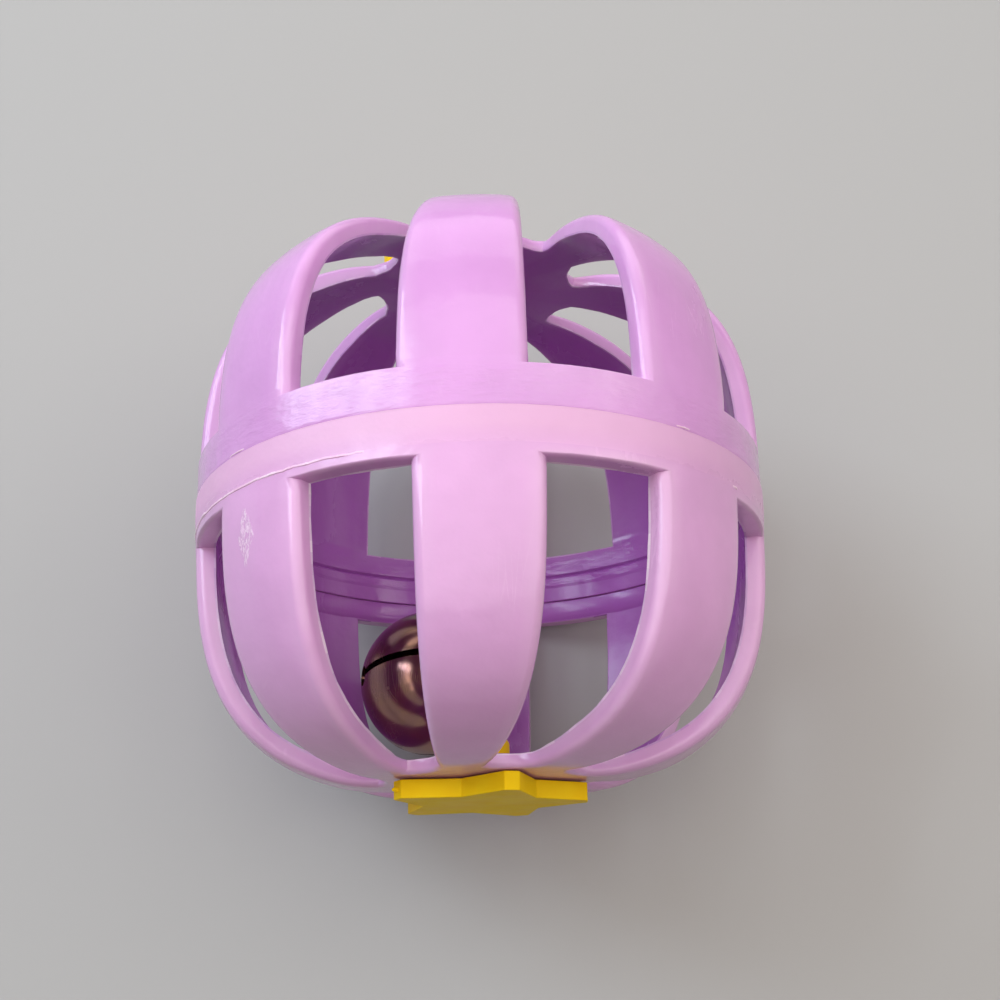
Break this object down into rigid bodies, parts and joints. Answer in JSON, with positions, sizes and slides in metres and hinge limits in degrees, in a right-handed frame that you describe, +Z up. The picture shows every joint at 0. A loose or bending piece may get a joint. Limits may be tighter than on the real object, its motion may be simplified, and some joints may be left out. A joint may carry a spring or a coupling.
{
  "type": "cat toy ball",
  "caption": "Hollow lattice ball of ribbed plastic halves snapped together at a belt, with a flat star cap at each pole and a loose jingle bell inside, for a cat to bat and roll.",
  "frame": {"origin": "on the surface that the ball lies on, under the middle of its bounding box", "axes": "+Y along the polar axis from the front star to the rear star, +Z up"},
  "size_m": [0.0442, 0.0452, 0.0441],
  "materials": {
    "cage": "glossy lilac moulded plastic",
    "star": "satin yellow moulded plastic",
    "bell": "copper-toned plated sheet",
    "eye_wire": "copper-toned plated wire",
    "pellet": "bare steel ball"
  },
  "bodies": {
    "front_shell": {"front_cage_half": "cage", "front_star_cap": "star"},
    "rear_shell": {"rear_cage_half": "cage", "rear_star_cap": "star"},
    "bell": {"bell_slotted_cup": "bell", "bell_crown_cup": "bell", "bell_loop": "eye_wire"},
    "pellet": {"bell_pellet": "pellet"}
  },
  "joints": [
    {"name": "half_twist", "type": "hinge", "parent": "front_shell", "child": "rear_shell", "pos_m": [0, 0, 0.02207], "axis": [0, 1, 0], "continuous": true},
    {"name": "bell_orbit", "type": "hinge", "parent": "front_shell", "child": "bell", "pos_m": [0, 0, 0.02207], "axis": [0, 1, 0], "continuous": true},
    {"name": "pellet_roll", "type": "hinge", "parent": "bell", "child": "pellet", "pos_m": [-0.00426, -0.01069, 0.01117], "axis": [0, 1, 0], "continuous": true}
  ]
}
